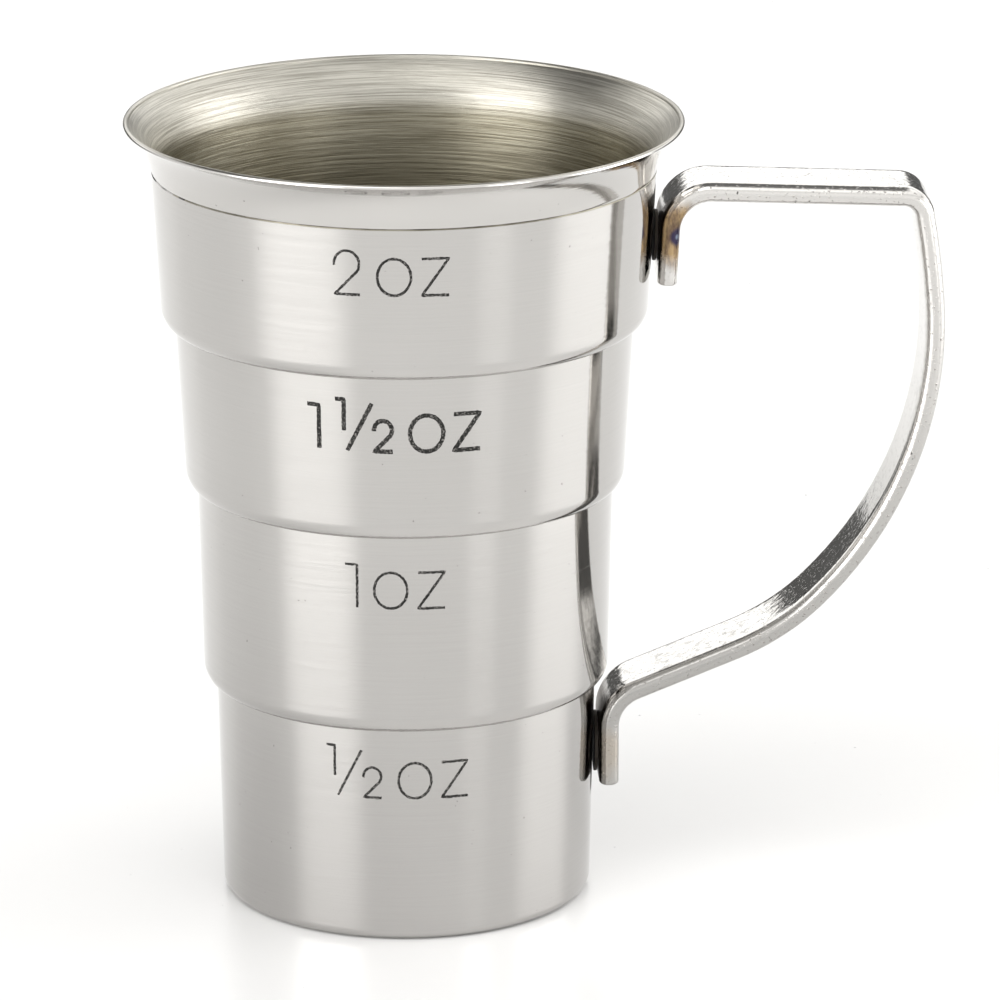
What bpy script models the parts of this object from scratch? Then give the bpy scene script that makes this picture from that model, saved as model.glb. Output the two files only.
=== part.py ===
"""A stepped bar jigger: a thin steel measuring cup with a bent strap handle welded to its side.

Units are metres and +Z is up. The origin is the centre of the cup's flat base, on the
cup's axis, and the handle stands along +X.
"""

import math

import bmesh
import bpy
from mathutils import Matrix, Vector

MM = 0.001

# Cup. Each band is (height of its lower edge, radius there, radius at its upper edge).
BANDS = (
    (0.0 * MM, 15.6 * MM, 16.0 * MM),
    (18.65 * MM, 17.1 * MM, 17.45 * MM),
    (35.75 * MM, 18.45 * MM, 19.15 * MM),
    (49.75 * MM, 20.35 * MM, 21.0 * MM),
)
FLARE_START = 62.8 * MM
CUP_HEIGHT = 66.9 * MM
RIM_RADIUS = 23.3 * MM
FLARE_LEAN = math.radians(10)
WALL = 0.5 * MM
FLOOR = 0.6 * MM
BASE_ROUND = 0.9 * MM
STEP_HEIGHT = 1.4 * MM
ARC_STEPS = 3
LIP_STEPS = 4
CUP_SEGMENTS = 60

# Handle. Turns are counted clockwise, seen with +X to the right.
STRAP_WIDTH = 7.3 * MM
STRAP_THICKNESS = 1.65 * MM
STRAP_ROUND = 0.75 * MM
WALL_GAP = 0.42 * MM
UPPER_FOOT_BOTTOM = 53.1 * MM
UPPER_FOOT_LENGTH = 4.65 * MM
LOWER_FOOT_BOTTOM = 9.3 * MM
SHOULDER_BEND = (3.4 * MM, math.radians(89.2))
TOP_RUN = 15.95 * MM
OUTER_BENDS = (
    (1.85 * MM, math.radians(77.5)),
    (70.0 * MM, math.radians(6.2)),
    (33.0 * MM, math.radians(49.5)),
    (20.7 * MM, math.radians(22.5)),
)
HEEL_RADIUS = 3.55 * MM
BEND_STEP = math.radians(7)
CORNER_STEPS = 3

# Welds between the strap's feet and the cup's wall.
UPPER_WELD_RADIUS = 2.15 * MM
LOWER_WELD_RADIUS = 2.6 * MM
WELD_CLEARANCE = 0.09 * MM
UPPER_WELD_HEIGHT = 56.65 * MM
LOWER_WELD_HEIGHT = 12.2 * MM
WELD_SEGMENTS = 24
# The lower foot is upright and the wall there leans out by 1.2 degrees, so its weld leans half as far.
LOWER_WELD_LEAN = math.radians(0.6)


def clear_scene():
    for obj in list(bpy.data.objects):
        bpy.data.objects.remove(obj)


def steel(name, color, roughness):
    material = bpy.data.materials.new(name)
    material.use_nodes = True
    shader = material.node_tree.nodes["Principled BSDF"]
    shader.inputs["Base Color"].default_value = (*color, 1)
    shader.inputs["Roughness"].default_value = roughness
    shader.inputs["Metallic"].default_value = 1
    return material


def finish(name, bm, material):
    """Turns a bmesh into a named, smooth-shaded object with its faces pointing out."""
    bmesh.ops.remove_doubles(bm, verts=bm.verts, dist=1e-7)
    bmesh.ops.recalc_face_normals(bm, faces=bm.faces)
    mesh = bpy.data.meshes.new(name)
    bm.to_mesh(mesh)
    bm.free()
    mesh.shade_smooth()
    mesh.set_sharp_from_angle(angle=math.radians(40))
    mesh.materials.append(material)
    obj = bpy.data.objects.new(name, mesh)
    bpy.context.collection.objects.link(obj)
    return obj


def arc(center, radius_x, radius_z, start, end, steps=ARC_STEPS):
    """Points on an ellipse's arc as (radius, height). Angles are degrees, from +X towards +Z."""
    angles = [math.radians(start + (end - start) * i / steps) for i in range(steps + 1)]
    return [
        (center[0] + radius_x * math.cos(a), center[1] + radius_z * math.sin(a))
        for a in angles
    ]


def flare(start, end, lean):
    """An arc from start to end that leaves start at the given lean from the vertical."""
    run, rise = end[0] - start[0], end[1] - start[1]
    turn = 2 * (math.atan2(run, rise) - lean)
    radius = math.hypot(run, rise) / (2 * math.sin(turn / 2))
    center = (start[0] + radius * math.cos(lean), start[1] - radius * math.sin(lean))
    begin = 180 - math.degrees(lean)
    return arc(center, radius, radius, begin, begin - math.degrees(turn))


def wall_radius(height):
    """The cup's outer radius at a height, on the straight part of a band."""
    tops = [band[0] for band in BANDS[1:]] + [FLARE_START]
    for (low, r_low, r_high), top in zip(BANDS, tops):
        if height <= top:
            return r_low + (r_high - r_low) * (height - low) / (top - low)
    return RIM_RADIUS


def cup_profile():
    """The wall's closed section, from the axis out under the base, up, and back down inside."""
    _, base_radius, first_top = BANDS[0]
    crease = (BANDS[-1][2], FLARE_START)
    outside = [(0.0, 0.0)]
    outside += arc((base_radius - BASE_ROUND, BASE_ROUND), BASE_ROUND, BASE_ROUND, -90, 0)
    inside = [(0.0, FLOOR)]
    corner = BASE_ROUND - WALL / 2
    inside += arc((base_radius - WALL - corner, FLOOR + corner), corner, corner, -90, 0)
    below = first_top
    for height, low_radius, top_radius in BANDS[1:]:
        step = low_radius - below
        heel = (below, height + STEP_HEIGHT)
        outside += arc(heel, step, STEP_HEIGHT, -90, 0)
        inside += arc((below, height), WALL, WALL, 180, 90)
        inside += arc(heel, step - WALL, STEP_HEIGHT - WALL, -90, 0)[1:]
        below = top_radius
    outside += flare(crease, (RIM_RADIUS, CUP_HEIGHT - WALL / 2), FLARE_LEAN)
    lip = (RIM_RADIUS - WALL / 2, CUP_HEIGHT - WALL / 2)
    outside += arc(lip, WALL / 2, WALL / 2, 0, 180, LIP_STEPS)[1:]
    inner_crease = (crease[0] - WALL, FLARE_START)
    inside += flare(inner_crease, (lip[0] - WALL / 2, lip[1]), FLARE_LEAN)[:-1]
    return outside + inside[::-1]


def build_cup():
    bm = bmesh.new()
    points = [bm.verts.new((radius, 0, height)) for radius, height in cup_profile()]
    edges = [bm.edges.new(pair) for pair in zip(points, points[1:])]
    bmesh.ops.spin(
        bm,
        geom=points + edges,
        cent=(0, 0, 0),
        axis=(0, 0, 1),
        angle=2 * math.pi,
        steps=CUP_SEGMENTS,
        use_merge=True,
    )
    return finish("cup", bm, steel("cup_steel", (0.63, 0.62, 0.60), 0.32))


def strap_section(bm):
    """A rectangle with rounded corners, flat on the XY plane, wide along Y."""
    half_x = STRAP_THICKNESS / 2 - STRAP_ROUND
    half_y = STRAP_WIDTH / 2 - STRAP_ROUND
    corners = ((half_x, half_y, 0), (-half_x, half_y, 90), (-half_x, -half_y, 180), (half_x, -half_y, 270))
    points = [
        bm.verts.new((x, y, 0))
        for x_mid, y_mid, start in corners
        for x, y in arc((x_mid, y_mid), STRAP_ROUND, STRAP_ROUND, start, start + 90, CORNER_STEPS)
    ]
    return bm.faces.new(points)


class Sweep:
    """Draws a section along straight runs and bends in the XZ plane."""

    def __init__(self, bm, face, start, heading):
        self.bm = bm
        self.face = face
        self.place = Vector(start)
        self.heading = heading
        self.moved = False
        turned = Matrix.Rotation(math.pi / 2 - heading, 4, "Y")
        bmesh.ops.transform(bm, matrix=Matrix.Translation(self.place) @ turned, verts=face.verts)

    def direction(self):
        return Vector((math.cos(self.heading), 0, math.sin(self.heading)))

    def take_end(self, geometry):
        """Makes the new end the current one, and opens the old one unless it closes the start."""
        if self.moved:
            bmesh.ops.delete(self.bm, geom=[self.face], context="FACES_ONLY")
        self.moved = True
        self.face = next(item for item in geometry if isinstance(item, bmesh.types.BMFace))

    def run(self, length):
        offset = self.direction() * length
        self.take_end(bmesh.ops.extrude_face_region(self.bm, geom=[self.face], use_keep_orig=True)["geom"])
        bmesh.ops.translate(self.bm, vec=offset, verts=self.face.verts)
        self.place += offset

    def bend(self, radius, turn):
        """Turns clockwise by turn, or anticlockwise where turn is negative."""
        side = math.copysign(1, turn)
        towards = Vector((math.sin(self.heading), 0, -math.cos(self.heading)))
        center = self.place + towards * radius * side
        made = bmesh.ops.spin(
            self.bm,
            geom=[self.face],
            cent=center,
            axis=(0, 1, 0),
            angle=turn,
            steps=max(2, round(abs(turn) / BEND_STEP)),
        )
        self.take_end(made["geom_last"])
        self.place = center + Matrix.Rotation(turn, 3, "Y") @ (self.place - center)
        self.heading -= turn


def top_band_lean():
    """How far the top band's wall leans outwards from the vertical."""
    low, r_low, r_high = BANDS[-1]
    return math.atan2(r_high - r_low, FLARE_START - low)


def build_handle():
    offset = WALL_GAP + STRAP_THICKNESS / 2
    start = (wall_radius(UPPER_FOOT_BOTTOM) + offset, 0, UPPER_FOOT_BOTTOM)
    bm = bmesh.new()
    sweep = Sweep(bm, strap_section(bm), start, math.pi / 2 - top_band_lean())
    sweep.run(UPPER_FOOT_LENGTH)
    sweep.bend(*SHOULDER_BEND)
    sweep.run(TOP_RUN)
    for radius, turn in OUTER_BENDS:
        sweep.bend(radius, turn)
    heel_turn = sweep.heading + math.pi / 2
    foot_x = wall_radius(LOWER_WELD_HEIGHT) + offset
    heel_run = HEEL_RADIUS * (1 - math.cos(heel_turn))
    sweep.run((foot_x + heel_run - sweep.place.x) / math.cos(sweep.heading))
    sweep.bend(HEEL_RADIUS, heel_turn)
    sweep.run(sweep.place.z - LOWER_FOOT_BOTTOM)
    return finish("handle", bm, steel("handle_steel", (0.70, 0.69, 0.67), 0.18))


def build_weld(name, height, radius, lean):
    """A flat nugget that fills the gap between a foot and the wall, clear of both by a hair."""
    middle = Matrix.Translation((wall_radius(height) + WALL_GAP / 2, 0, height))
    place = middle @ Matrix.Rotation(math.pi / 2 + lean, 4, "Y")
    bm = bmesh.new()
    bmesh.ops.create_cone(
        bm,
        cap_ends=True,
        segments=WELD_SEGMENTS,
        radius1=radius,
        radius2=radius,
        depth=WALL_GAP - 2 * WELD_CLEARANCE,
        matrix=place,
    )
    return finish(name, bm, steel(name, (0.35, 0.30, 0.24), 0.45))


clear_scene()
build_cup()
build_handle()
build_weld("upper_weld", UPPER_WELD_HEIGHT, UPPER_WELD_RADIUS, top_band_lean())
build_weld("lower_weld", LOWER_WELD_HEIGHT, LOWER_WELD_RADIUS, LOWER_WELD_LEAN)
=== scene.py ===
# %% [markdown]
# # A stepped bar jigger
# This lesson dresses a measuring cup: a thin spun steel cup that steps inwards towards its
# base, with a bent strap for a handle. The engineering model arrives as a fixed frame.
# Everything made here is drawn around it, in metres, and nothing in the frame is moved.

# %% Load the fixed frame
import math

import bmesh
import bpy
from mathutils import Matrix, Vector, noise


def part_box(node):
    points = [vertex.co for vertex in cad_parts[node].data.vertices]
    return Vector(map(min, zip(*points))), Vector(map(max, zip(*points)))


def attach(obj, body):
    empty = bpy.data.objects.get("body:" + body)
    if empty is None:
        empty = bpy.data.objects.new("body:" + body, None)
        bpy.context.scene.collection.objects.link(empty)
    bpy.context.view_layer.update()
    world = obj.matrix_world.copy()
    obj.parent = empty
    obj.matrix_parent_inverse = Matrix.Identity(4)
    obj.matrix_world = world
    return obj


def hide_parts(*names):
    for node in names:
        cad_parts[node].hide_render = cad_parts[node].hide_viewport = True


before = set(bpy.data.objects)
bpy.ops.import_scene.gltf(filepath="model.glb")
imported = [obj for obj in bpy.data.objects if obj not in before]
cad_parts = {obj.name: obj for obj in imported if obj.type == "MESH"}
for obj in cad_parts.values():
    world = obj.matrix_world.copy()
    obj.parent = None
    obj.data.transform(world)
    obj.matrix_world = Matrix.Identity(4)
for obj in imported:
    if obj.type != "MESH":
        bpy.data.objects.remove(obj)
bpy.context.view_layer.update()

MM = 0.001
print("nodes in the frame:", ", ".join(sorted(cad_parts)))

# %% [markdown]
# ## The camera
# A small object is shot from far away with a long lens, so that its sides stay parallel. The
# camera stands about 0.6 m off, a little above the rim, and turned slightly to the handle.

# %% Place the camera
camera_data = bpy.data.cameras.new("camera")
camera_data.lens = 251.5
camera_data.sensor_width = 36
camera = bpy.data.objects.new("camera", camera_data)
camera.location = (-17.67 * MM, -563.25 * MM, 204.12 * MM)
camera.rotation_euler = (math.radians(73.18), 0, math.radians(-2.607))
bpy.context.scene.collection.objects.link(camera)
bpy.context.scene.camera = camera
bpy.context.scene.view_settings.view_transform = "Standard"
FRONT = math.degrees(math.atan2(camera.location.y, camera.location.x))
print("the camera looks from azimuth", round(FRONT, 1))

# %% [markdown]
# ## A short way to write shader maths
# A material is a graph of nodes. Wiring each one by hand hides the idea, so a small class
# wraps a socket and lets Python's own signs add the Math nodes. Any other node comes from
# one method, which sets the node's options first and its sockets second.


# %% Define the node helpers
class Wire:
    """One output of a node. Arithmetic on it adds Math nodes."""

    def __init__(self, nodes, socket):
        self.nodes = nodes
        self.socket = socket

    def math(self, operation, *values):
        inputs = dict(enumerate(values))
        return self.nodes.add("ShaderNodeMath", {"operation": operation}, inputs)

    def __add__(self, other):
        return self.math("ADD", self, other)

    def __radd__(self, other):
        return self.math("ADD", other, self)

    def __sub__(self, other):
        return self.math("SUBTRACT", self, other)

    def __rsub__(self, other):
        return self.math("SUBTRACT", other, self)

    def __mul__(self, other):
        return self.math("MULTIPLY", self, other)

    def __rmul__(self, other):
        return self.math("MULTIPLY", other, self)

    def __truediv__(self, other):
        return self.math("DIVIDE", self, other)

    def __pow__(self, other):
        return self.math("POWER", self, other)

    def __abs__(self):
        return self.math("ABSOLUTE", self)


class Nodes:
    """Adds nodes to the tree of one material or world."""

    def __init__(self, tree):
        self.tree = tree

    def add(self, kind, settings=None, inputs=None, output=0):
        node = self.tree.nodes.new(kind)
        for name, value in (settings or {}).items():
            setattr(node, name, value)
        for key, value in (inputs or {}).items():
            self.feed(node.inputs[key], value)
        return Wire(self, node.outputs[output])

    def feed(self, socket, value):
        if isinstance(value, Wire):
            self.tree.links.new(value.socket, socket)
        else:
            socket.default_value = value

    def parts(self, vector):
        """The three numbers in a vector."""
        first = self.add("ShaderNodeSeparateXYZ", inputs={0: vector})
        outputs = first.socket.node.outputs
        return [Wire(self, outputs[i]) for i in range(3)]

    def vector(self, x, y, z):
        return self.add("ShaderNodeCombineXYZ", inputs={0: x, 1: y, 2: z})

    def fade(self, value, start, end):
        """0 before start, 1 after end, and a smooth step between them."""
        settings = {"interpolation_type": "SMOOTHSTEP"}
        inputs = {"Value": value, "From Min": start, "From Max": end}
        return self.add("ShaderNodeMapRange", settings, inputs)

    def noise(self, vector, scale, detail=2.0, rough=0.5):
        """Cloudy values from 0 to 1. The scale is in waves for each metre."""
        inputs = {"Vector": vector, "Scale": scale, "Detail": detail, "Roughness": rough}
        return self.add("ShaderNodeTexNoise", inputs=inputs)

    def blend(self, amount, first, second):
        """A colour between two colours."""
        settings = {"data_type": "RGBA"}
        return self.add("ShaderNodeMix", settings, {0: amount, 6: first, 7: second}, 2)

    def bump(self, height, depth, below=None):
        """A normal tipped by a height from 0 to 1, whose full depth is in metres."""
        inputs = {"Strength": 1.0, "Distance": depth, "Height": height}
        if below is not None:
            inputs["Normal"] = below
        return self.add("ShaderNodeBump", inputs=inputs)


def new_material(name, fixed):
    """A material with its fixed shader values set. Returns it, its nodes and its shader."""
    material = bpy.data.materials.new(name)
    material.use_nodes = True
    shader = material.node_tree.nodes["Principled BSDF"]
    for key, value in fixed.items():
        shader.inputs[key].default_value = value
    return material, Nodes(material.node_tree), shader


print("node helpers are ready")

# %% [markdown]
# ## The studio
# Steel has no colour of its own worth speaking of: it shows the room. The room is a white
# sweep with a tall softbox to the left of the camera, another behind the handle, a narrow
# one to the right, a bright patch high in front, a dark ceiling behind it, and a dark strip
# along the back wall's foot. It could be built from area lamps, but painting it on the world
# by direction keeps every edge as soft as a big diffuser, and adds no grain.


# %% Light the room
def build_studio():
    world = bpy.data.worlds.new("studio")
    bpy.context.scene.world = world
    world.use_nodes = True
    nodes = Nodes(world.node_tree)
    direction = nodes.add("ShaderNodeTexCoord")
    x, y, z = nodes.parts(direction)
    level = (x * x + y * y + 1e-6) ** 0.5

    def facing(azimuth):
        """1 straight towards an azimuth, counted from the camera's side, and -1 away."""
        turn = math.radians(FRONT + azimuth)
        return (x * math.cos(turn) + y * math.sin(turn)) / level

    def softbox(azimuth, half, edge, low, high, power):
        """A bright patch. Its sides are in degrees and its foot and top are heights."""
        far = math.cos(math.radians(half + edge))
        near = math.cos(math.radians(half))
        upright = nodes.fade(z, low - 0.12, low + 0.05) * (1 - nodes.fade(z, high, high + 0.12))
        return nodes.fade(facing(azimuth), far, near) * upright * power

    at_back = nodes.fade(facing(180), 0.1, 0.9)
    walls = (1.22 + at_back * 0.40) * (1 - nodes.fade(z, 0.30, 0.80) * 0.30)
    left_box = softbox(-50, 6, 22, -0.2, 0.42, 3.9)
    right_box = softbox(96, 8, 20, -0.2, 0.38, 3.4)
    narrow_box = softbox(43, 2, 9, -0.2, 0.25, 2.6)
    room = walls + left_box + right_box + narrow_box
    back_turn = math.radians(FRONT + 180)
    behind = x * math.cos(back_turn) + y * math.sin(back_turn)
    high = nodes.fade(z, 0.50, 0.66)
    dark_ceiling = high * nodes.fade(behind, -0.20, -0.08)
    dark_ceiling = dark_ceiling * (1 - nodes.fade(x, 0.15, 0.40))
    front_top = nodes.fade(z, 0.62, 0.80) * (0.6 + nodes.fade(facing(-38), 0.5, 0.95) * 1.1)
    skirting = (1 - nodes.fade(abs(z - 0.02), 0.145, 0.175)) * at_back
    flag_side = nodes.fade(facing(-108), math.cos(math.radians(30)), math.cos(math.radians(14)))
    left_flag = flag_side * nodes.fade(z, 0.10, 0.20) * (1 - nodes.fade(z, 0.50, 0.62))
    darkened = (1 - dark_ceiling * 0.90) * (1 - skirting * 0.93) * (1 - left_flag * 0.35)
    strength = (room + front_top) * darkened
    seen = nodes.add("ShaderNodeLightPath")
    strength = nodes.add("ShaderNodeMix", inputs={0: seen, 2: strength, 3: 1.3})
    background = world.node_tree.nodes["Background"]
    background.inputs["Color"].default_value = (1.0, 0.994, 0.98, 1)
    nodes.feed(background.inputs["Strength"], strength)
    return world


studio = build_studio()
print("the studio is one world:", studio.name)

# %% [markdown]
# ## The floor
# The cup stands on a white laminate sheet that is a little glossy, so the cup shows faintly
# in it. It is a stage, not part of the object.


# %% Lay the floor
FLOOR_RADIUS = 0.65


def build_floor():
    bm = bmesh.new()
    bmesh.ops.create_circle(bm, cap_ends=True, segments=96, radius=FLOOR_RADIUS)
    mesh = bpy.data.meshes.new("floor")
    bm.to_mesh(mesh)
    bm.free()
    floor = bpy.data.objects.new("floor", mesh)
    bpy.context.scene.collection.objects.link(floor)
    material, nodes, shader = new_material("white_laminate", {"IOR": 1.5})
    place = nodes.add("ShaderNodeTexCoord", output=3)
    x, y, z = nodes.parts(place)
    fibres = nodes.noise(nodes.vector(x * 0.2, y, z), 1100.0, 3.0)
    specks = nodes.fade(nodes.noise(place, 900.0, 2.0), 0.76, 0.80)
    nodes.feed(shader.inputs["Base Color"], nodes.blend(
        specks, (0.88, 0.88, 0.88, 1), (0.50, 0.50, 0.51, 1)))
    nodes.feed(shader.inputs["Roughness"], 0.24 + fibres * 0.04)
    nodes.feed(shader.inputs["Normal"], nodes.bump(fibres, 0.0012 * MM))
    floor.data.materials.append(material)
    return floor


floor = build_floor()
print("the floor reaches", FLOOR_RADIUS, "m each way")

# %% [markdown]
# ## The cup's outline
# A spun cup is known by its half section. Four bands lean out by a degree or so, and each
# begins with a rounded heel that stands out from the band below. The top ends in a flare
# and a rolled lip. The outer line is drawn first, and the inner line follows it one wall
# thickness in. Every curve is an arc from a formula, so it can be made as fine as needed.

# %% Size the cup
BANDS = (
    (0.0 * MM, 15.6 * MM, 16.0 * MM),
    (18.65 * MM, 17.1 * MM, 17.45 * MM),
    (35.75 * MM, 18.45 * MM, 19.15 * MM),
    (49.75 * MM, 20.35 * MM, 21.0 * MM),
)
FLARE_START = 62.8 * MM
FLARE_LEAN = math.radians(10)
WALL = 0.5 * MM
FLOOR_THICKNESS = 0.6 * MM
BASE_ROUND = 0.9 * MM
HEEL_HEIGHT = 1.4 * MM
CREASE = 0.14 * MM
CREASE_DEPTH = 0.07 * MM
CUP_TURNS = 256
cup_low, cup_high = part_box("cup")
RIM_RADIUS = cup_high.x
CUP_HEIGHT = cup_high.z
print("rim radius and height, mm:", round(RIM_RADIUS / MM, 2), round(CUP_HEIGHT / MM, 2))


# %% Draw the half section
def arc(center, radius_x, radius_z, start, end, steps):
    """Points on an ellipse's arc. Angles are degrees, from the first axis to the second."""
    angles = [math.radians(start + (end - start) * i / steps) for i in range(steps + 1)]
    return [
        (center[0] + radius_x * math.cos(a), center[1] + radius_z * math.sin(a))
        for a in angles
    ]


def flare(start, end, lean, steps):
    """An arc from start to end that leaves start at the given lean from upright."""
    run = end[0] - start[0]
    rise = end[1] - start[1]
    turn = 2 * (math.atan2(run, rise) - lean)
    radius = math.hypot(run, rise) / (2 * math.sin(turn / 2))
    center = (start[0] + radius * math.cos(lean), start[1] - radius * math.sin(lean))
    begin = 180 - math.degrees(lean)
    return arc(center, radius, radius, begin, begin - math.degrees(turn), steps)


def wall_radius(height):
    """The cup's outer radius at a height, on the straight part of a band."""
    tops = [band[0] for band in BANDS[1:]] + [FLARE_START]
    for (low, r_low, r_high), top in zip(BANDS, tops):
        if height <= top:
            return r_low + (r_high - r_low) * (height - low) / (top - low)
    return RIM_RADIUS


def outer_line():
    """The cup's outer line, from the axis under the base up to the lip's top."""
    base_radius = BANDS[0][1]
    line = [(0.0, 0.0)]
    corner = (base_radius - BASE_ROUND, BASE_ROUND)
    line += arc(corner, BASE_ROUND, BASE_ROUND, -90, 0, 10)
    below = BANDS[0][2]
    for height, low_radius, top_radius in BANDS[1:]:
        heel = (below, height + HEEL_HEIGHT)
        line += arc(heel, low_radius - below, HEEL_HEIGHT, -90, 0, 14)
        below = top_radius
    lip = (RIM_RADIUS - WALL / 2, CUP_HEIGHT - WALL / 2)
    line += [(below, FLARE_START - CREASE), (below - CREASE_DEPTH, FLARE_START - CREASE / 2)]
    line += flare((below, FLARE_START), (RIM_RADIUS, lip[1]), FLARE_LEAN, 20)
    line += arc(lip, WALL / 2, WALL / 2, 0, 180, 12)[1:]
    return line


def inner_line():
    """The cup's inner line, from the axis on the floor up to the lip."""
    corner = BASE_ROUND - WALL / 2
    middle = (BANDS[0][1] - WALL - corner, FLOOR_THICKNESS + corner)
    line = [(0.0, FLOOR_THICKNESS)]
    line += arc(middle, corner, corner, -90, 0, 8)
    below = BANDS[0][2]
    for height, low_radius, top_radius in BANDS[1:]:
        heel = (below, height + HEEL_HEIGHT)
        step = low_radius - below
        line += arc((below, height), WALL, WALL, 180, 90, 8)
        line += arc(heel, step - WALL, HEEL_HEIGHT - WALL, -90, 0, 12)[1:]
        below = top_radius
    start = (below - WALL, FLARE_START)
    end = (RIM_RADIUS - WALL, CUP_HEIGHT - WALL / 2)
    line += flare(start, end, FLARE_LEAN, 20)[:-1]
    return line


print("points in the half section:", len(outer_line()) + len(inner_line()))

# %% [markdown]
# ## Spinning the cup
# The half section is turned once round the axis, as the real cup is turned on a lathe. The
# spin closes on itself, and its doubled points are merged. The faces are then told apart by
# which way they look: those that face the axis or look up from inside take the inner finish.


# %% Spin the shell
def add_object(name, bm, materials):
    """Closes a bmesh, turns its faces out and makes a smooth, named object of it."""
    bmesh.ops.remove_doubles(bm, verts=bm.verts, dist=1e-7)
    bmesh.ops.recalc_face_normals(bm, faces=bm.faces)
    mesh = bpy.data.meshes.new(name)
    bm.to_mesh(mesh)
    bm.free()
    mesh.shade_smooth()
    mesh.set_sharp_from_angle(angle=math.radians(38))
    for material in materials:
        mesh.materials.append(material)
    obj = bpy.data.objects.new(name, mesh)
    bpy.context.scene.collection.objects.link(obj)
    return obj


def looks_inside(face):
    """True for a face of the inner wall, the inner steps or the cup's floor."""
    middle = face.calc_center_median()
    outward = Vector((middle.x, middle.y, 0))
    if outward.length < 1e-6:
        return face.normal.z > 0
    return face.normal.dot(outward.normalized()) < face.normal.z


def build_cup(materials):
    bm = bmesh.new()
    line = outer_line() + inner_line()[::-1]
    points = [bm.verts.new((radius, 0, height)) for radius, height in line]
    edges = [bm.edges.new(pair) for pair in zip(points, points[1:])]
    bmesh.ops.spin(
        bm,
        geom=points + edges,
        cent=(0, 0, 0),
        axis=(0, 0, 1),
        angle=2 * math.pi,
        steps=CUP_TURNS,
        use_merge=True,
    )
    bmesh.ops.remove_doubles(bm, verts=bm.verts, dist=1e-7)
    bmesh.ops.recalc_face_normals(bm, faces=bm.faces)
    for face in bm.faces:
        face.material_index = int(looks_inside(face))
    return add_object("cup_shell", bm, materials)


# %% [markdown]
# ## The strap's sizes
# The cup's finish has to know where the strap stands, because the slit behind each foot is
# painted dark as painted shade. So the strap is sized here, before either finish is mixed.

# %% Size the strap
STRAP_WIDTH = 7.3 * MM
STRAP_THICKNESS = 1.65 * MM
STRAP_ROUND = 0.75 * MM
STRAP_SIDE_ROUND = 0.9 * MM
WALL_GAP = 0.42 * MM
UPPER_FOOT_BOTTOM = 53.1 * MM
UPPER_FOOT_LENGTH = 4.65 * MM
LOWER_FOOT_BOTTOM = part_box("handle")[0].z
SHOULDER_BEND = (3.4 * MM, math.radians(89.2))
TOP_RUN = 15.95 * MM
OUTER_BENDS = (
    (1.85 * MM, math.radians(77.5)),
    (70.0 * MM, math.radians(6.2)),
    (33.0 * MM, math.radians(49.5)),
    (20.7 * MM, math.radians(22.5)),
)
HEEL_RADIUS = 3.55 * MM
UPPER_WELD_HEIGHT = 56.65 * MM
LOWER_WELD_HEIGHT = 12.2 * MM
END_ROUND = 0.22 * MM
BEND_STEP = math.radians(2.5)
RUN_STEP = 0.4 * MM
DISH_RADIUS = 2.3 * MM
DISH_DEPTH = 0.12 * MM
print("strap section, mm:", STRAP_WIDTH / MM, "x", STRAP_THICKNESS / MM)


# %% [markdown]
# ## Polished steel, outside
# The outside is polished, but the belt that polished it went round the cup, so it left very
# fine grooves. They spread a reflection up and down and hardly sideways. The finest ones are
# the shader's own anisotropy. The coarser ones are bump, stretched round the cup. A few specks
# and hairlines lie on top. The colour also holds painted light: the lower bands are painted
# darker and the flare lighter, and the crease under the flare and the slit by each foot are
# painted dark as painted shade.


# %% Mix the outer finish
def around(nodes, place, steps_round):
    """Coordinates that run slowly round the axis and fast up it."""
    x, y, z = nodes.parts(place)
    return nodes.vector(x * steps_round, y * steps_round, z)


def slit_shade(nodes, place, reach):
    """1 in the slit between a foot and the wall, which is painted dark as painted shade, and 0
    elsewhere.
    """
    x, y, z = nodes.parts(place)
    gap_side = STRAP_WIDTH / 2 - 0.35 * MM
    across = 1 - nodes.fade(abs(y), gap_side - 0.5 * MM, gap_side)
    low_foot = 1 - nodes.fade(abs(z - 12.6 * MM), 3.4 * MM, 4.6 * MM)
    high_foot = 1 - nodes.fade(abs(z - 58.0 * MM), 2.6 * MM, 4.2 * MM)
    far_side = wall_radius(UPPER_WELD_HEIGHT) + WALL_GAP + reach
    past_foot = nodes.fade(x, far_side, far_side + 0.2 * MM)
    near_cup = nodes.fade(x, 0.0, 1.0 * MM) * (1 - past_foot)
    settings = {"operation": "MAXIMUM"}
    either_foot = nodes.add("ShaderNodeMath", settings, {0: low_foot, 1: high_foot})
    return across * either_foot * near_cup


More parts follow.
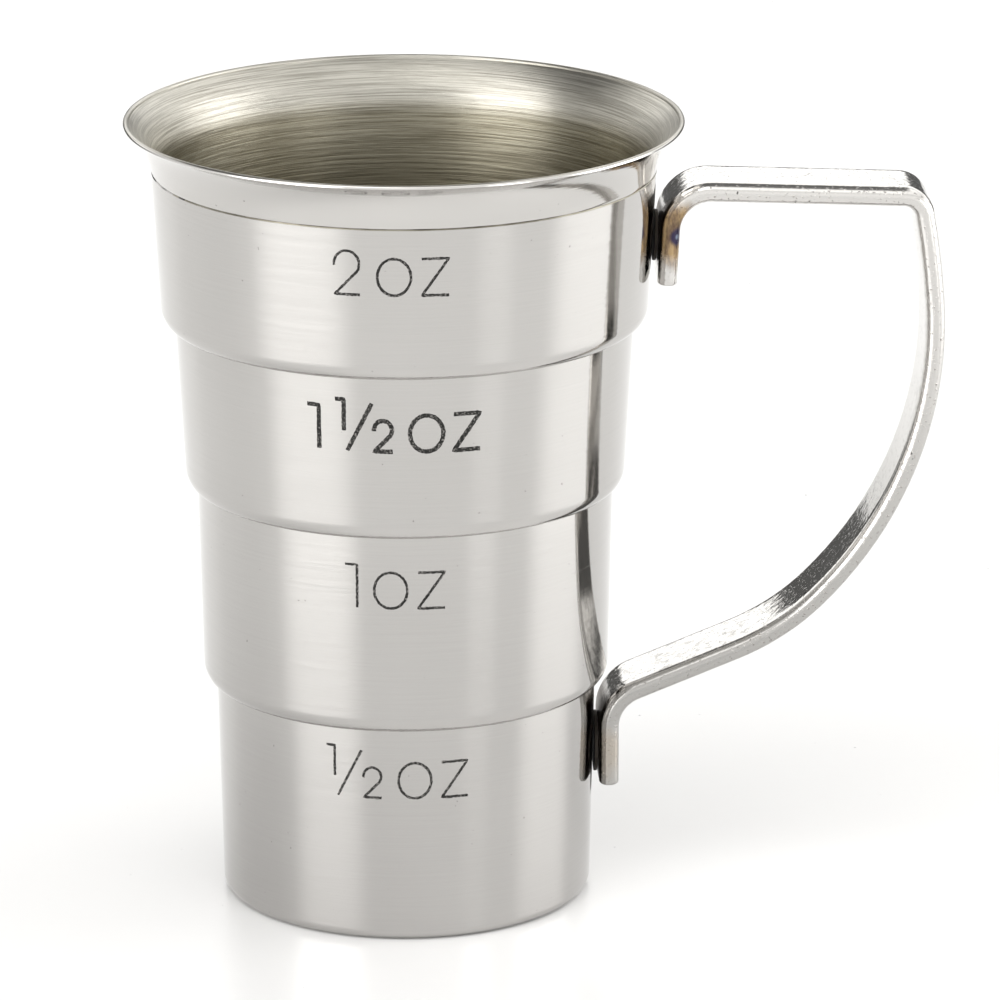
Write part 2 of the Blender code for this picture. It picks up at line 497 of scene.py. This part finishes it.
def outer_steel():
    fixed = {"Metallic": 1.0, "Anisotropic": 0.75, "Anisotropic Rotation": 0.25}
    material, nodes, shader = new_material("polished_steel", fixed)
    place = nodes.add("ShaderNodeTexCoord", output=3)
    fine = nodes.noise(around(nodes, place, 0.03), 5200.0, 3.0)
    waves = nodes.noise(around(nodes, place, 0.05), 1300.0, 2.0)
    clouds = nodes.noise(place, 90.0, 3.0)
    hairlines = nodes.fade(nodes.noise(around(nodes, place, 0.02), 1900.0, 1.0), 0.73, 0.76)
    specks = nodes.fade(nodes.noise(place, 2300.0, 1.0), 0.79, 0.82)
    normal = nodes.bump(waves, 0.012 * MM, nodes.bump(fine, 0.006 * MM))
    x, y, z = nodes.parts(place)
    # The lower bands are painted darker than the upper ones: painted shade, darker towards the bottom.
    shade_and_wear = nodes.blend(clouds, (0.440, 0.428, 0.416, 1), (0.480, 0.468, 0.456, 1))
    bright = nodes.blend(clouds, (0.515, 0.503, 0.487, 1), (0.562, 0.550, 0.534, 1))
    bands = nodes.blend(nodes.fade(z, 0.0, BANDS[3][0]), shade_and_wear, bright)
    # The flare is painted lighter than the bands: painted light.
    flared = nodes.fade(z, FLARE_START - 0.1 * MM, FLARE_START + 0.1 * MM)
    flare_painted_light = nodes.blend(flared, bands, (0.610, 0.597, 0.577, 1))
    # The crease under the flare is painted dark, broken up by noise: painted shade.
    crease = 1 - nodes.fade(abs(z - FLARE_START + CREASE / 2), CREASE * 0.45, CREASE * 0.75)
    crease_shade_breaks = nodes.fade(nodes.noise(around(nodes, place, 0.5), 700.0, 2.0), 0.40, 0.62)
    creased = nodes.blend(crease * (0.45 + 0.5 * crease_shade_breaks), flare_painted_light, (0.07, 0.065, 0.06, 1))
    # The slit between each foot and the wall is painted dark: painted shade.
    slit_shade_mask = slit_shade(nodes, place, 0.0)
    slit_shaded = nodes.blend(slit_shade_mask, creased, (0.035, 0.030, 0.025, 1))
    marked = nodes.blend(specks * 0.6, slit_shaded, (0.16, 0.15, 0.14, 1))
    nodes.feed(shader.inputs["Base Color"], marked)
    roughness = 0.055 + fine * 0.04 + hairlines * 0.10 + slit_shade_mask * 0.45
    nodes.feed(shader.inputs["Roughness"], roughness)
    nodes.feed(shader.inputs["Normal"], normal)
    return material


# %% [markdown]
# ## Turned steel, inside
# Nobody polishes the inside. The spinning tool leaves coarse rings. Light that goes down the
# cup bounces many times off slightly warm steel, and the colour is painted olive and dim for
# it: painted shade, darker towards the bottom, and painted lighter on the flare.


# %% Mix the inner finish
def inner_steel():
    fixed = {"Metallic": 1.0, "Anisotropic": 0.8, "Anisotropic Rotation": 0.25}
    material, nodes, shader = new_material("turned_steel", fixed)
    place = nodes.add("ShaderNodeTexCoord", output=3)
    x, y, z = nodes.parts(place)
    radius = (x * x + y * y + 1e-10) ** 0.5
    along = radius + z
    rings = nodes.noise(nodes.vector(x * 0.018, y * 0.018, along), 5200.0, 4.0, 0.75)
    tool = nodes.noise(nodes.vector(x * 0.02, y * 0.02, along), 900.0, 2.0)
    normal = nodes.bump(tool, 0.012 * MM, nodes.bump(rings, 0.030 * MM))
    flared = nodes.fade(z, FLARE_START - 0.8 * MM, FLARE_START + 1.2 * MM)
    falling = nodes.fade(z, BANDS[3][0] + 2 * MM, FLARE_START)
    streaks = nodes.fade(rings, 0.34, 0.66)
    # The colour is painted darker down the cup and lighter on the flare: painted shade and painted
    # light.
    deep = nodes.blend(streaks, (0.10, 0.088, 0.058, 1), (0.26, 0.235, 0.165, 1))
    upper = nodes.blend(streaks, (0.24, 0.218, 0.160, 1), (0.48, 0.450, 0.360, 1))
    lip = nodes.blend(streaks, (0.29, 0.277, 0.240, 1), (0.57, 0.552, 0.498, 1))
    walled = nodes.blend(falling, deep, upper)
    nodes.feed(shader.inputs["Base Color"], nodes.blend(flared, walled, lip))
    nodes.feed(shader.inputs["Roughness"], 0.26 + rings * 0.12)
    nodes.feed(shader.inputs["Normal"], normal)
    return material


# %% Make the cup
cup_shell = build_cup([outer_steel(), inner_steel()])
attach(cup_shell, "root")
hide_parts("cup")
print("cup_shell faces:", len(cup_shell.data.polygons))

# %% [markdown]
# ## The strap
# The handle is one flat bar with rounded edges, bent on a former. A section is drawn flat
# and swept: it is extruded along each straight and spun round each bend, so the bends are
# true arcs. Its two feet are pressed against the cup, and the press leaves a shallow dish
# where each spot weld was made.

# %% Define the sweep
def strap_section(bm):
    """A rectangle with rounded corners, flat on the XY plane, with points along its width."""
    half_x = STRAP_THICKNESS / 2 - STRAP_ROUND
    half_y = STRAP_WIDTH / 2 - STRAP_SIDE_ROUND
    corners = (
        (half_x, half_y, 0),
        (-half_x, half_y, 90),
        (-half_x, -half_y, 180),
        (half_x, -half_y, 270),
    )
    points = [
        bm.verts.new((x, y, 0))
        for x_mid, y_mid, start in corners
        for x, y in arc((x_mid, y_mid), STRAP_ROUND, STRAP_SIDE_ROUND, start, start + 90, 8)
    ]
    ring = [bm.edges.new(pair) for pair in zip(points, points[1:] + points[:1])]
    wide = [edge for edge in ring if edge.calc_length() > STRAP_WIDTH / 2]
    bmesh.ops.subdivide_edges(bm, edges=wide, cuts=15)
    return bmesh.ops.edgeloop_fill(bm, edges=bm.edges[:])["faces"][0]


class Strap:
    """Sweeps a section along straights and bends in the XZ plane."""

    def __init__(self, bm, face, start, heading):
        self.bm = bm
        self.face = face
        self.place = Vector(start)
        self.heading = heading
        self.moved = False
        turned = Matrix.Rotation(math.pi / 2 - heading, 4, "Y")
        moved = Matrix.Translation(self.place) @ turned
        bmesh.ops.transform(bm, matrix=moved, verts=face.verts)

    def take_end(self, geometry):
        """Makes the new end the current one, and opens the old one unless it is the start."""
        if self.moved:
            bmesh.ops.delete(self.bm, geom=[self.face], context="FACES_ONLY")
        self.moved = True
        self.face = next(item for item in geometry if isinstance(item, bmesh.types.BMFace))

    def run(self, length):
        steps = max(1, round(length / RUN_STEP))
        offset = Vector((math.cos(self.heading), 0, math.sin(self.heading))) * length
        for _ in range(steps):
            made = bmesh.ops.extrude_face_region(self.bm, geom=[self.face], use_keep_orig=True)
            self.take_end(made["geom"])
            bmesh.ops.translate(self.bm, vec=offset / steps, verts=self.face.verts)
        self.place += offset

    def bend(self, radius, turn):
        """Turns clockwise, seen with the handle to the right, or back where turn is negative."""
        side = math.copysign(1, turn)
        towards = Vector((math.sin(self.heading), 0, -math.cos(self.heading)))
        center = self.place + towards * radius * side
        made = bmesh.ops.spin(
            self.bm,
            geom=[self.face],
            cent=center,
            axis=(0, 1, 0),
            angle=turn,
            steps=max(3, round(abs(turn) / BEND_STEP)),
        )
        self.take_end(made["geom_last"])
        self.place = center + Matrix.Rotation(turn, 3, "Y") @ (self.place - center)
        self.heading -= turn


def top_band_lean():
    """How far the top band's wall leans out from upright."""
    low, r_low, r_high = BANDS[-1]
    return math.atan2(r_high - r_low, FLARE_START - low)


# %% [markdown]
# ## Hammered, pitted steel
# The strap was tumbled, not polished by hand. Its flats are bright, its narrow edges are
# speckled with fine pits, and the weld current tinted both feet: straw, then brown, with a
# blue ring at the upper one. The tint is a function of how far a point is from the weld.


# %% Mix the strap's finish
def tint_near(nodes, place, center, reach):
    """1 at a point and 0 a reach away from it, with a cloudy edge."""
    away = nodes.add("ShaderNodeVectorMath", {"operation": "DISTANCE"},
                     {0: place, 1: center}, 1)
    wander = (nodes.noise(place, 420.0, 3.0) - 0.5) * (1.1 * reach)
    return 1 - nodes.fade(away + wander, reach * 0.45, reach * 1.1)


def strap_steel():
    fixed = {"Metallic": 1.0}
    material, nodes, shader = new_material("strap_steel", fixed)
    place = nodes.add("ShaderNodeTexCoord", output=3)
    x, y, z = nodes.parts(place)
    half = STRAP_WIDTH / 2
    edge = nodes.fade(abs(y), half - 0.70 * MM, half - 0.30 * MM)
    pits = nodes.fade(nodes.noise(place, 3600.0, 2.0), 0.60, 0.70)
    dots = nodes.fade(nodes.noise(place, 1500.0, 1.0), 0.77, 0.80)
    patches = nodes.fade(nodes.noise(place, 170.0, 3.0), 0.50, 0.68)
    low_run = (1 - nodes.fade(z, 22 * MM, 34 * MM)) * (1 - nodes.fade(x, 26 * MM, 40 * MM))
    # On the strap this mask is real wear: scuffs gathered on the lower run.
    shade_and_wear = patches + low_run * 0.9
    scuffs = nodes.fade(nodes.noise(place, 1100.0, 4.0, 0.72), 0.47, 0.66) * shade_and_wear
    orange_peel = nodes.noise(place, 1400.0, 2.0)
    upper_x = wall_radius(UPPER_WELD_HEIGHT) + WALL_GAP + STRAP_THICKNESS / 2
    lower_x = wall_radius(LOWER_WELD_HEIGHT) + WALL_GAP
    upper = tint_near(nodes, place, (upper_x, -half, 57.6 * MM), 3.1 * MM)
    lower = tint_near(nodes, place, (lower_x, -half, LOWER_WELD_HEIGHT), 2.6 * MM)
    # The slit between each foot and the wall is painted dark here too: painted shade.
    slit_shade_mask = slit_shade(nodes, place, 0.25 * MM)
    rim = nodes.blend(nodes.fade(z, 12 * MM, 60 * MM), (0.40, 0.392, 0.378, 1), (0.66, 0.645, 0.625, 1))
    plain = nodes.blend(edge, (0.70, 0.685, 0.66, 1), rim)
    base = nodes.blend(pits * (0.30 + 0.45 * edge), plain, (0.27, 0.258, 0.24, 1))
    scuffed = nodes.blend(scuffs * (1 - edge) * 0.75, base, (0.36, 0.35, 0.335, 1))
    spotted = nodes.blend(dots * 0.8, scuffed, (0.05, 0.05, 0.05, 1))
    flow = nodes.noise(nodes.vector(x, y, z * 0.25), 1900.0, 4.0, 0.65)
    streaky = nodes.fade(flow, 0.36, 0.64)
    straw = nodes.blend(streaky, (0.105, 0.056, 0.024, 1), (0.40, 0.27, 0.125, 1))
    heated = nodes.blend(upper * 0.92, spotted, straw)
    ring_center = (upper_x + STRAP_THICKNESS / 2, -half, 57.3 * MM)
    settings = {"operation": "DISTANCE"}
    away = nodes.add("ShaderNodeVectorMath", settings, {0: place, 1: ring_center}, 1)
    ring = 1 - nodes.fade(away, 0.60 * MM, 1.0 * MM)
    heart = 1 - nodes.fade(away, 0.22 * MM, 0.45 * MM)
    ringed = nodes.blend(ring * 0.92, heated, (0.035, 0.033, 0.075, 1))
    blued = nodes.blend(heart * 0.85, ringed, (0.42, 0.52, 0.66, 1))
    tinted = nodes.blend(lower * 0.35, blued, (0.42, 0.34, 0.24, 1))
    final = nodes.blend(slit_shade_mask, tinted, (0.10, 0.075, 0.055, 1))
    nodes.feed(shader.inputs["Base Color"], final)
    roughness = 0.07 + 0.13 * edge + pits * 0.08 + upper * 0.08 + slit_shade_mask * 0.25
    nodes.feed(shader.inputs["Roughness"], roughness)
    depth = orange_peel * 0.5 + pits * (0.15 + 0.45 * edge)
    nodes.feed(shader.inputs["Normal"], nodes.bump(depth, 0.035 * MM))
    return material


# %% Bend the strap
def press_dish(bm, center, axis):
    """Presses a shallow round dish into the strap's outer face."""
    for vert in bm.verts:
        offset = vert.co - center
        depth_side = offset.dot(axis)
        across = (offset - axis * depth_side).length
        if depth_side > STRAP_THICKNESS * 0.4 and across < DISH_RADIUS:
            vert.co -= axis * DISH_DEPTH * (0.5 + 0.5 * math.cos(math.pi * across / DISH_RADIUS))


def build_strap(material):
    offset = WALL_GAP + STRAP_THICKNESS / 2
    lean = top_band_lean()
    start = (wall_radius(UPPER_FOOT_BOTTOM) + offset, 0, UPPER_FOOT_BOTTOM)
    bm = bmesh.new()
    strap = Strap(bm, strap_section(bm), start, math.pi / 2 - lean)
    first = strap.face
    strap.run(UPPER_FOOT_LENGTH)
    strap.bend(*SHOULDER_BEND)
    strap.run(TOP_RUN)
    for radius, turn in OUTER_BENDS:
        strap.bend(radius, turn)
    heel_turn = strap.heading + math.pi / 2
    foot_x = wall_radius(LOWER_WELD_HEIGHT) + offset
    heel_run = HEEL_RADIUS * (1 - math.cos(heel_turn))
    strap.run((foot_x + heel_run - strap.place.x) / math.cos(strap.heading))
    strap.bend(HEEL_RADIUS, heel_turn)
    strap.run(strap.place.z - LOWER_FOOT_BOTTOM)
    print("strap heading at the end, degrees:", round(math.degrees(strap.heading), 2))
    rims = list(first.edges) + list(strap.face.edges)
    bmesh.ops.bevel(
        bm,
        geom=rims,
        offset=END_ROUND,
        affect="EDGES",
        segments=3,
        profile=0.5,
        material=-1,
    )
    upper = Vector((wall_radius(UPPER_WELD_HEIGHT) + offset, 0, UPPER_WELD_HEIGHT))
    press_dish(bm, upper, Vector((math.cos(lean), 0, -math.sin(lean))))
    press_dish(bm, Vector((foot_x, 0, LOWER_WELD_HEIGHT)), Vector((1, 0, 0)))
    return add_object("strap_handle", bm, [material])


strap_handle = build_strap(strap_steel())
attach(strap_handle, "root")
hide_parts("handle")
print("strap_handle faces:", len(strap_handle.data.polygons))

# %% [markdown]
# ## The spot welds
# Each weld is a thin nugget between a foot and the wall. Its shape in the frame is already
# right, so it stays, and only takes a dull scaled finish.


# %% Finish the welds
def scale_finish():
    material, nodes, shader = new_material("weld_scale", {"Metallic": 0.8})
    place = nodes.add("ShaderNodeTexCoord", output=3)
    crust = nodes.noise(place, 1800.0, 4.0)
    color = nodes.blend(crust, (0.012, 0.011, 0.010, 1), (0.09, 0.075, 0.06, 1))
    nodes.feed(shader.inputs["Base Color"], color)
    nodes.feed(shader.inputs["Roughness"], 0.45 + crust * 0.3)
    nodes.feed(shader.inputs["Normal"], nodes.bump(crust, 0.03 * MM))
    return material


weld_scale = scale_finish()
for weld_name in ("upper_weld", "lower_weld"):
    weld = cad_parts[weld_name]
    weld.material_slots[0].material = weld_scale
print("welds finished: 2")

# %% [markdown]
# ## The capacity marks
# Each band carries the measure that it holds up to its top. The marks are plain numbers
# drawn with a single pen stroke, as an engraver's stylus does. Each stroke is a round line
# that is flattened and wrapped round the wall, where it stands proud by a few hundredths
# of a millimetre, which is enough to show and too little to feel.

# %% Draw the pen strokes
LETTER_HEIGHT = 3.1 * MM
NUMBER_HEIGHT = 3.7 * MM
FRACTION_HEIGHT = 2.65 * MM
WORD_SPACE = 1.43 * MM
LETTER_SPACE = 0.88 * MM
FRACTION_SPACE = 0.28 * MM
FINE_PEN = 0.22 * MM
BOLD_PEN = 0.36 * MM


def one():
    return [[(0.0, 1.0), (0.27, 1.0), (0.27, 0.0)]]


def two():
    bowl = arc((0.29, 0.70), 0.28, 0.30, 188, -36, 18)
    return [bowl + [(0.02, 0.0), (0.58, 0.0)]]


def letter_o():
    return [arc((0.44, 0.5), 0.44, 0.5, 90, 450, 40)]


def letter_z():
    return [[(0.0, 1.0), (0.71, 1.0), (0.0, 0.0), (0.71, 0.0)]]


def slash():
    return [[(0.0, 0.0), (0.5, 1.0)]]


STROKES = {"1": one, "2": two, "O": letter_o, "Z": letter_z, "/": slash}
print("letters that can be drawn:", " ".join(STROKES))


# %% Lay out a mark
def width_of(strokes):
    return max(x for stroke in strokes for x, _ in stroke)


def lay_out(letters):
    """Strokes for a row of letters, in metres, centred on 0. The baseline is at 0."""
    drawn = []
    cursor = 0.0
    for letter, height, lift, space in letters:
        strokes = STROKES[letter]()
        drawn += [
            [(cursor + x * height, lift + y * height) for x, y in stroke]
            for stroke in strokes
        ]
        cursor += width_of(strokes) * height + space
    middle = (cursor - letters[-1][3]) / 2
    return [[(x - middle, y) for x, y in stroke] for stroke in drawn]


WHOLE_TWO = ("2", NUMBER_HEIGHT, 0.0, WORD_SPACE)
WHOLE_ONE = ("1", NUMBER_HEIGHT, 0.0, WORD_SPACE)
HALF = (
    ("1", FRACTION_HEIGHT, 1.7 * MM, FRACTION_SPACE),
    ("/", 4.1 * MM, 0.0, FRACTION_SPACE / 2),
    ("2", FRACTION_HEIGHT, 0.0, WORD_SPACE),
)
OUNCES = (("O", LETTER_HEIGHT, 0.0, LETTER_SPACE), ("Z", LETTER_HEIGHT, 0.0, 0.0))
MARKS = (
    ("mark_two_ounces", (WHOLE_TWO, *OUNCES), 57.2 * MM, FINE_PEN),
    ("mark_one_and_a_half", (WHOLE_ONE, *HALF, *OUNCES), 43.55 * MM, BOLD_PEN),
    ("mark_one_ounce", (WHOLE_ONE, *OUNCES), 29.7 * MM, FINE_PEN),
    ("mark_half_ounce", (*HALF, *OUNCES), 12.72 * MM, FINE_PEN),
)
print("marks:", len(MARKS))


# %% Make the marks
MARK_AZIMUTH = math.radians(-94.8)
FLATTEN = 0.10
POINT_SPACING = 0.12 * MM
RAGGED = 0.05 * MM


def filled_in(stroke):
    """The same line with points close enough together to bend round the wall."""
    points = [stroke[0]]
    for (x0, y0), (x1, y1) in zip(stroke, stroke[1:]):
        steps = max(1, round(math.hypot(x1 - x0, y1 - y0) / POINT_SPACING))
        points += [
            (x0 + (x1 - x0) * i / steps, y0 + (y1 - y0) * i / steps)
            for i in range(1, steps + 1)
        ]
    return points


def pen_line(bm, stroke, pen):
    """Adds a round line along a stroke to a bmesh."""
    curve = bpy.data.curves.new("pen_line", "CURVE")
    curve.dimensions = "3D"
    curve.bevel_depth = pen / 2
    curve.bevel_resolution = 1
    curve.use_fill_caps = True
    points = filled_in(stroke)
    spline = curve.splines.new("POLY")
    spline.points.add(len(points) - 1)
    for point, (x, y) in zip(spline.points, points):
        point.co = (x, y, 0, 1)
    helper = bpy.data.objects.new("pen_line", curve)
    mesh = bpy.data.meshes.new_from_object(helper)
    bm.from_mesh(mesh)
    bpy.data.objects.remove(helper)
    bpy.data.curves.remove(curve)
    bpy.data.meshes.remove(mesh)


def wrap(vert, baseline):
    """Moves a point from the flat drawing on to the cup's wall."""
    jitter = noise.noise_vector(vert.co * 9000) * RAGGED
    height = baseline + vert.co.y + jitter.y
    radius = wall_radius(height) + vert.co.z * FLATTEN
    turn = MARK_AZIMUTH + (vert.co.x + jitter.x) / wall_radius(height)
    vert.co = (radius * math.cos(turn), radius * math.sin(turn), height)


def etched_finish():
    material, nodes, shader = new_material("etched_mark", {"Metallic": 0.0, "Specular IOR Level": 0.25})
    place = nodes.add("ShaderNodeTexCoord", output=3)
    grit = nodes.fade(nodes.noise(place, 7000.0, 3.0), 0.50, 0.68)
    color = nodes.blend(grit, (0.008, 0.008, 0.007, 1), (0.22, 0.21, 0.20, 1))
    nodes.feed(shader.inputs["Base Color"], color)
    nodes.feed(shader.inputs["Roughness"], 0.55 + grit * 0.3)
    nodes.feed(shader.inputs["Normal"], nodes.bump(grit, 0.02 * MM))
    return material


etched = etched_finish()
# Without a seed the clock sets the offsets, and the ragged edges change on each run.
noise.seed_set(1)
for mark_name, letters, baseline, pen in MARKS:
    bm = bmesh.new()
    for stroke in lay_out(letters):
        pen_line(bm, stroke, pen)
    for vert in bm.verts:
        wrap(vert, baseline)
    mark = add_object(mark_name, bm, [etched])
    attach(mark, "root")
    print(mark_name, "faces:", len(mark.data.polygons))
